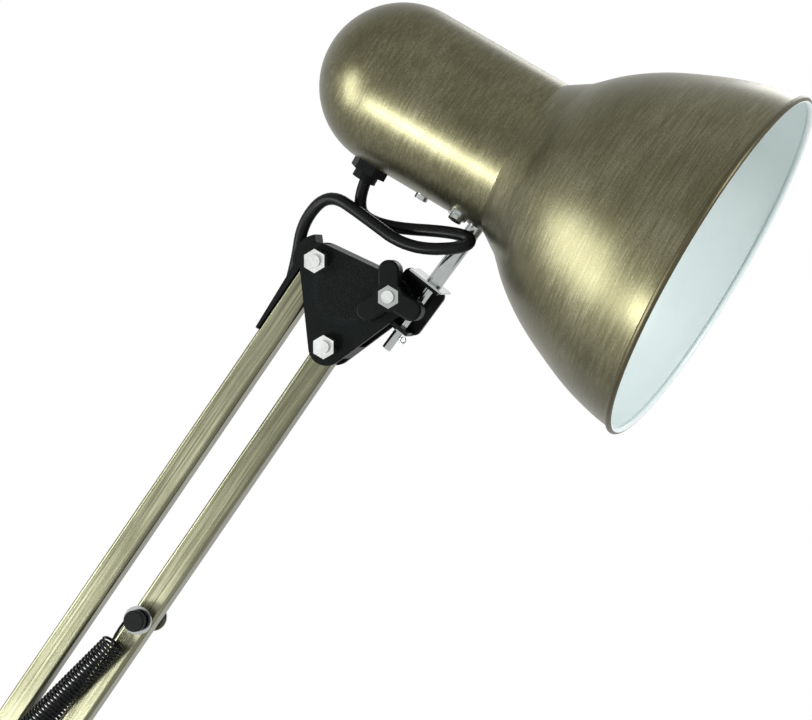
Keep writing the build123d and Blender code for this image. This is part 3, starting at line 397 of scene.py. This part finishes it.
def smooth_edges(thing, degrees=32):
    deselect_all()
    thing.select_set(True)
    bpy.context.view_layer.objects.active = thing
    bpy.ops.object.shade_smooth_by_angle(angle=math.radians(degrees))
    deselect_all()


# Cords: the routes of the CAD tubes, as smooth splines
def spline_curve(name, points, radius, bevel=True):
    curve = bpy.data.curves.new(name, "CURVE")
    curve.dimensions = "3D"
    curve.resolution_u = 8
    line = curve.splines.new("NURBS")
    line.points.add(len(points) - 1)
    for spot, place in zip(line.points, points):
        spot.co = (*place, 1)
    line.order_u = 3
    line.use_endpoint_u = True
    if bevel:
        curve.bevel_depth = radius
        curve.bevel_resolution = 4
        curve.use_fill_caps = True
    thing = bpy.data.objects.new(name, curve)
    bpy.context.scene.collection.objects.link(thing)
    return thing


def to_mesh(thing):
    deselect_all()
    thing.select_set(True)
    bpy.context.view_layer.objects.active = thing
    bpy.ops.object.convert(target="MESH")
    bpy.ops.object.shade_smooth()
    deselect_all()
    return thing


def line_points(points):
    """Points read from the route's spline."""
    thing = spline_curve("route", points, 0, False)
    mesh = bpy.data.meshes.new_from_object(thing)
    places = [v.co.copy() for v in mesh.vertices]
    bpy.data.objects.remove(thing)
    bpy.data.meshes.remove(mesh)
    return places


def tube_piece(name, places, radius):
    """A mesh tube through points read from a spline."""
    curve = bpy.data.curves.new(name, "CURVE")
    curve.dimensions = "3D"
    line = curve.splines.new("POLY")
    line.points.add(len(places) - 1)
    for spot, place in zip(line.points, places):
        spot.co = (*place, 1)
    curve.bevel_depth = radius
    curve.bevel_resolution = 4
    curve.use_fill_caps = True
    thing = bpy.data.objects.new(name, curve)
    bpy.context.scene.collection.objects.link(thing)
    to_mesh(thing)
    thing.data.materials.append(cord_sheath.material)
    return thing


def in_metres(points):
    return [Vector(p) * MM for p in points]


CORD_R = 3.0 * MM
head_route = in_metres(
    [
        (56.204, 0, 803.012),
        (43.204, 0, 780.496),
        (49.8, -2, 765.1),
        (102.2, -7.6, 761.8),
        (102.2, -13.2, 754.4),
        (72.3, -12.5, 754.1),
        (50.3, -11, 770.1),
        (31.3, -4, 781.6),
        (16.8, 0, 767.6),
        (14.0, 0, 747.5),
        (4.75, 0, 717.72),
        (0.69, 0, 712.01),
    ]
)
elbow_route = in_metres(
    [
        (-133.13, 0, 523.72),
        (-137.18, 0, 518.01),
        (-168.9, 0, 497.6),
        (-186, 0, 476),
        (-192, 0, 440),
        (-193, 0, 405),
        (-189, 0, 368),
        (-175.1, 0, 340.4),
        (-145.5, 0, 317.09),
        (-142.0, 0, 311.02),
    ]
)
bracket_route = in_metres(
    [(-36.0, 0, 127.43), (-32.5, 0, 121.36), (-27.1, 0, 84.05), (-24, 0, 61), (0, 0, 48), (0, 0, 19.5)]
)


def nearest(places, target):
    return min(range(len(places)), key=lambda i: (places[i] - target).length)


head_line = line_points(head_route)
cuts = [0]
for target in (head_route[4], head_route[5].lerp(head_route[6], 0.4), head_route[7]):
    cuts.append(nearest(head_line, target))
cuts.append(len(head_line) - 1)
head_runs = [head_line[max(0, a - 1) : b + 1] for a, b in zip(cuts, cuts[1:])]
head_cord = tube_piece("head_cord_gland", head_runs[0], CORD_R)
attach(head_cord, "head")
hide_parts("head_cord")
crossings = (("head", "stirrup"), ("stirrup", "head_plates"), ("head_plates", "upper_cord_arm"))
for number, (run, pair) in enumerate(zip(head_runs[1:], crossings), 1):
    piece = tube_piece(f"head_cord_run_{number}", run, CORD_R)
    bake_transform(piece)

elbow_line = line_points(elbow_route)
middle = nearest(elbow_line, elbow_route[4].lerp(elbow_route[5], 0.5))
elbow_upper = tube_piece("elbow_cord_upper", elbow_line[: middle + 1], CORD_R)
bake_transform(elbow_upper)
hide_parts("cord_elbow")
elbow_lower = tube_piece("elbow_cord_lower", elbow_line[middle - 1 :], CORD_R)
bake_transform(elbow_lower)

bracket_line = line_points(bracket_route)
bracket_cord = tube_piece("bracket_cord", bracket_line, CORD_R)
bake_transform(bracket_cord)
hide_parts("cord_bracket")

# Free lead: coil behind the base, in-line switch, flat plug
LOOP_R = 50.0
LOOP_STEP = 6.6
LOOP_TURNS = 5.25
LOOP_POINTS = 24
LOOP_AT = Vector((-50, 155, 0))


def loop_place(turns):
    angle = turns * math.tau
    half = LOOP_TURNS / 2
    radius = LOOP_R - LOOP_STEP * (half - abs(turns - half))
    radius *= 1 / math.cos(math.pi / LOOP_POINTS)
    ease = min(1, max(0, (turns - half) * 2 + 0.5))
    lift = LOOP_STEP * ease * ease * (3 - ease * 2)
    return LOOP_AT + Vector((math.cos(angle) * radius, math.sin(angle) * radius, 3.0 + lift))


loop_count = int(LOOP_TURNS * LOOP_POINTS)
coil_route = in_metres(
    [(0, 104, 7.5), (0, 112, 7.5), (0, 140, 3)]
    + [loop_place(LOOP_TURNS * i / loop_count) for i in range(loop_count + 1)]
    + [(-65, 205, 9.6), (-92, 205, 8), (-100, 205, 8)]
)
lead_route = in_metres(
    [
        (-160, 205, 8),
        (-170, 205, 8),
        (-194, 204, 3),
        (-214, 194, 3),
        (-226, 174, 3),
        (-226, 148, 3),
        (-214, 125, 3),
        (-198, 104, 3),
        (-184, 84, 3),
        (-175, 60, 3),
        (-174, 40, 7),
        (-174, 30, 7),
    ]
)


def run_length(points):
    places = line_points(points)
    return sum((b - a).length for a, b in zip(places, places[1:]))


for name, route, node in (("coiled_lead", coil_route, "cord_coil"), ("plug_lead", lead_route, "lead_cord")):
    thing = spline_curve(name, route, CORD_R)
    thing.data.materials.append(cord_sheath.material)
    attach(thing, "base")
    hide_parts(node)
coil_length, lead_length = run_length(coil_route), run_length(lead_route)

# Springs: close-wound wire in one piece, a hook at each end
SPRING_OUT = 13.2 * MM
WIRE_R = 0.75 * MM
SPRING_COIL_R = 5.25 * MM
SPRING_PITCH = 2.1 * MM
SPRING_HOOK_R = 3.8 * MM
HOOK_RUN = 7.0 * MM
COIL_START = 16.0 * MM
CURL_POINTS = 12


def spring(name, bolt, stud, side):
    way = (stud - bolt).normalized()
    out = Vector((0, side, 0))
    up = way.cross(Vector((0, 1, 0)))
    first, last = bolt + out * SPRING_OUT, stud + out * SPRING_OUT
    coil = (last - first).length - COIL_START * 2
    curls = round(coil / SPRING_PITCH)
    # A quadratic spline touches the middles of its runs, so its control points stand further out
    coil_r = SPRING_COIL_R / math.cos(math.pi / CURL_POINTS)
    hook_r = SPRING_HOOK_R / math.cos(math.pi / CURL_POINTS)

    def hook(centre, away):
        places = [centre + up * (SPRING_HOOK_R * away) + way * (3 * MM * away)]
        for step in range(CURL_POINTS + 1):
            turn = math.pi * step / CURL_POINTS
            places.append(centre + (up * math.cos(turn) - way * math.sin(turn)) * (hook_r * away))
        return places + [centre - up * (SPRING_HOOK_R * away) + way * (HOOK_RUN * away)]

    places = hook(first, 1)
    for step in range(curls * CURL_POINTS + 1):
        turn = step / CURL_POINTS * math.tau
        along = first + way * (COIL_START + coil * step / (curls * CURL_POINTS))
        places.append(along + (up * math.sin(turn) + out * math.cos(turn)) * coil_r)
    places += reversed(hook(last, -1))
    thing = spline_curve(name, places, WIRE_R)
    thing.data.resolution_u = 3
    thing.data.bevel_resolution = 1
    to_mesh(thing)
    thing.data.materials.append(black_steel.material)
    first + way * COIL_START
    last - way * COIL_START
    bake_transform(thing)
    return thing


for side, word in ((1, "back"), (-1, "front")):
    for arm, bolt in (("lower", LINK_PIVOT), ("upper", ELBOW_TOP)):
        body = f"{arm}_spring"
        made = spring(f"{body}_{word}", bolt, pivots[f"{body}_stretch"], side)
        if word == "back":  # the pair is one node, named once
            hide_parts(f"{body}s")

# Cord inside the arms and the base
for name, route, body in (
    ("cord_upper", [head_route[-1], elbow_route[0]], "upper_cord_arm"),
    ("cord_lower", [elbow_route[-1], bracket_route[0]], "lower_main"),
    ("cord_base", line_points(in_metres([(0, 0, 19.5), (0, 0, 10.5), (0, 3, 7.5), (0, 104, 7.5)])), "base"),
):
    piece = tube_piece(f"{name}_run", route, CORD_R)
    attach(piece, body)
    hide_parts(name)

# Shade: one spun sheet, drawn ring by ring from the rim to the pole, and the rolled rim
MOUTH_R = 90.0 * MM
NECK_R = 40.0 * MM
BELL_T = 90.0 * MM
CREASE_T = 101.0 * MM
DOME_T = 171.0 * MM
SHEET_T = 0.8 * MM
RIM_R = 1.6 * MM
ROUND = 144
BELL_SHARES = (
    (0, 0.99), (0.125, 0.973), (0.306, 0.928), (0.5, 0.852), (0.694, 0.759), (0.861, 0.648), (1, 0.522)
)
BELL_STEPS = 6
DOME_STEPS = 20
CREASE_SMOOTH = 20


def between(a, b, c, d, t):
    """A smooth value between b and c, from four neighbours."""
    square = 2 * a - 5 * b + 4 * c - d
    cube = 3 * b - a - 3 * c + d
    return 0.5 * (2 * b + (c - a) * t + square * t * t + cube * t * t * t)


def shade_rings():
    """Distance back from the rim, and radius, of each ring."""
    places = [(BELL_T * back, MOUTH_R * wide) for back, wide in BELL_SHARES]
    outer = ((places[0], places[1]), (places[-1], places[-2]))
    ends = [tuple(2 * a - b for a, b in zip(*pair)) for pair in outer]
    padded = [ends[0], *places, ends[1]]
    rings = []
    for four in zip(padded, padded[1:], padded[2:], padded[3:]):
        for step in range(BELL_STEPS):
            rings.append(tuple(between(*axis, step / BELL_STEPS) for axis in zip(*four)))
    rings += [places[-1], (CREASE_T, NECK_R)]
    neck_long = DOME_T - CREASE_T
    rings += [(CREASE_T + neck_long * share, NECK_R) for share in (0.02, 0.1, 0.3, 0.6, 0.9, 1)]
    for step in range(1, DOME_STEPS):
        turn = math.pi / 2 * step / DOME_STEPS
        rings.append((DOME_T + NECK_R * math.sin(turn), NECK_R * math.cos(turn)))
    return rings


def spun_shade():
    rings = shade_rings()
    deselect_all()
    bpy.ops.mesh.primitive_circle_add(vertices=ROUND, radius=rings[0][1], location=(0, 0, 0))
    thing = bpy.context.object
    thing.name = "spun_shade"
    bpy.ops.object.mode_set(mode="EDIT")
    bpy.ops.mesh.select_all(action="SELECT")
    for (back, wide), (next_back, next_wide) in zip(rings, rings[1:]):
        bpy.ops.mesh.extrude_region_move(TRANSFORM_OT_translate={"value": (0, 0, next_back - back)})
        share = next_wide / wide
        bpy.ops.transform.resize(value=(share, share, 1), center_override=(0, 0, next_back))
    last_step = DOME_T + NECK_R - rings[-1][0]
    bpy.ops.mesh.extrude_region_move(TRANSFORM_OT_translate={"value": (0, 0, last_step)})
    bpy.ops.mesh.merge(type="CENTER")
    bpy.ops.mesh.select_all(action="SELECT")
    bpy.ops.mesh.normals_make_consistent(inside=False)
    bpy.ops.object.mode_set(mode="OBJECT")
    for paint in (shade_bronze, enamel, rim_dark):
        thing.data.materials.append(paint.material)
    wall = thing.modifiers.new("wall", "SOLIDIFY")
    wall.thickness = SHEET_T
    wall.offset = -1
    wall.use_even_offset = True
    wall.material_offset = 1
    wall.material_offset_rim = 2
    bpy.ops.object.modifier_apply(modifier="wall")
    deselect_all()
    bpy.ops.mesh.primitive_torus_add(
        major_radius=rings[0][1],
        minor_radius=RIM_R,
        major_segments=ROUND,
        minor_segments=20,
        location=(0, 0, 0),
    )
    roll = bpy.context.object
    for paint in (rim_dark, enamel):
        roll.data.materials.append(paint.material)
    for face in roll.data.polygons:
        face.material_index = int(face.center.xy.length < rings[0][1])
    thing.select_set(True)
    bpy.context.view_layer.objects.active = thing
    bpy.ops.object.join()
    thing.data.transform(Matrix.Translation(RIM) @ Matrix.Rotation(head_turn[1], 4, "Y"))
    smooth_edges(thing, CREASE_SMOOTH)
    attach(thing, "head")
    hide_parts("shade")


spun_shade()

# Strain reliefs: grooved tapers where the lead leaves the base, the switch and the plug
RELIEF_LONG = 21.0 * MM
RELIEF_WIDE = 4.9 * MM
RELIEF_NARROW = 3.5 * MM
RELIEF_RIBS = 5
GROOVE_DEEP = 0.82


def strain_relief(name, start, way):
    """A taper with grooves, from its wide root at start along the cord."""
    deselect_all()
    bpy.ops.mesh.primitive_circle_add(vertices=32, radius=RELIEF_WIDE, fill_type="NGON")
    thing = bpy.context.object
    thing.name = name
    bpy.ops.object.mode_set(mode="EDIT")
    bpy.ops.mesh.select_all(action="SELECT")
    radius, reach = RELIEF_WIDE, 0.0
    rib = RELIEF_LONG / RELIEF_RIBS
    for number in range(RELIEF_RIBS):
        for share, deep in ((0.5, 1), (0.1, GROOVE_DEEP), (0.3, GROOVE_DEEP), (0.1, 1)):
            reach += rib * share
            wide = (RELIEF_WIDE + (RELIEF_NARROW - RELIEF_WIDE) * reach / RELIEF_LONG) * deep
            bpy.ops.mesh.extrude_region_move(TRANSFORM_OT_translate={"value": (0, 0, rib * share)})
            bpy.ops.transform.resize(value=(wide / radius, wide / radius, 1), center_override=(0, 0, reach))
            radius = wide
    bpy.ops.mesh.select_all(action="SELECT")
    bpy.ops.mesh.normals_make_consistent(inside=False)
    bpy.ops.object.mode_set(mode="OBJECT")
    turn = way.normalized().to_track_quat("Z", "Y").to_matrix().to_4x4()
    thing.data.transform(Matrix.Translation(start) @ turn)
    thing.data.materials.append(rubber.material)
    smooth_edges(thing)
    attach(thing, "base")


for name, start, way in (
    ("base_relief", (0, 103.5, 7.5), (0, 22, -1.6)),
    ("switch_relief_in", (-100.2, 205, 8), (22, 0, 0.8)),
    ("switch_relief_out", (-159.8, 205, 8), (-22, -0.2, -1.9)),
    ("plug_relief", (-174, 29.8, 7), (-0.1, 22, -1.8)),
):
    strain_relief(name, Vector(start) * MM, Vector(way))

# Floor, world and lamps
WORLD_LEVEL = 0.5
FLOOR_R = 2.2
GLOW_FROM = 0.45
GLOW_TO = 1.25
deselect_all()
bpy.ops.mesh.primitive_circle_add(vertices=96, radius=FLOOR_R, fill_type="NGON", location=(0, 0, 0))
floor = bpy.context.object
floor.name = "floor"
pale = Paint("pale floor", Roughness=0.9)
pale.shader.inputs["Base Color"].default_value = (0.92, 0.92, 0.92, 1)
path = pale.tree.nodes.new("ShaderNodeLightPath")
rays = [Wire(pale, path.outputs[f"Is {kind} Ray"]) for kind in ("Camera", "Glossy", "Transmission")]
glow = pale.tree.nodes.new("ShaderNodeEmission")
glow.inputs["Color"].default_value = (1, 1, 1, 1)
mixed = pale.tree.nodes.new("ShaderNodeMixShader")
x, y, _ = pale.axes(pale.place())
far = (x * x + y * y).maths("SQRT").spread(GLOW_FROM, GLOW_TO)
share = (rays[0] + rays[1] + rays[2]).clamped() * (far * 0.5 + 0.5)
pale.tree.links.new(share.socket, mixed.inputs[0])
pale.tree.links.new(pale.shader.outputs[0], mixed.inputs[1])
pale.tree.links.new(glow.outputs[0], mixed.inputs[2])
pale.tree.links.new(mixed.outputs[0], pale.tree.nodes["Material Output"].inputs["Surface"])
floor.data.materials.append(pale.material)

world = bpy.data.worlds.new("studio")
bpy.context.scene.world = world
world.use_nodes = True
tree = world.node_tree
sky = tree.nodes["Background"]
sky.inputs["Color"].default_value = (1, 1, 1, 1)
path = tree.nodes.new("ShaderNodeLightPath")
seen = path.outputs["Is Camera Ray"]
for kind in ("Glossy", "Transmission"):
    add = tree.nodes.new("ShaderNodeMath")
    add.operation = "ADD"
    add.use_clamp = True
    tree.links.new(seen, add.inputs[0])
    tree.links.new(path.outputs[f"Is {kind} Ray"], add.inputs[1])
    seen = add.outputs[0]
level = tree.nodes.new("ShaderNodeMapRange")
level.inputs["To Min"].default_value = WORLD_LEVEL
level.inputs["To Max"].default_value = 1.0
tree.links.new(seen, level.inputs["Value"])
tree.links.new(level.outputs[0], sky.inputs["Strength"])


def lamp(name, place, target, size, watts):
    light = bpy.data.lights.new(name, "AREA")
    light.shape = "RECTANGLE"
    light.size, light.size_y = size
    light.energy = watts
    thing = bpy.data.objects.new(name, light)
    bpy.context.scene.collection.objects.link(thing)
    thing.location = place
    thing.rotation_euler = (Vector(place) - Vector(target)).to_track_quat("Z", "Y").to_euler()


lamp("key", (-0.75, -1.2, 0.10), TILT, (0.35, 0.35), 26)
lamp("left", (-1.35, -0.80, 0.72), TILT, (0.6, 0.9), 26)
lamp("right", (1.5, -0.5, 1.2), TILT, (0.5, 0.5), 18)
lamp("back", (0.4, 1.6, 1.5), TILT, (0.7, 0.7), 6)

bpy.context.scene.view_settings.view_transform = "Standard"
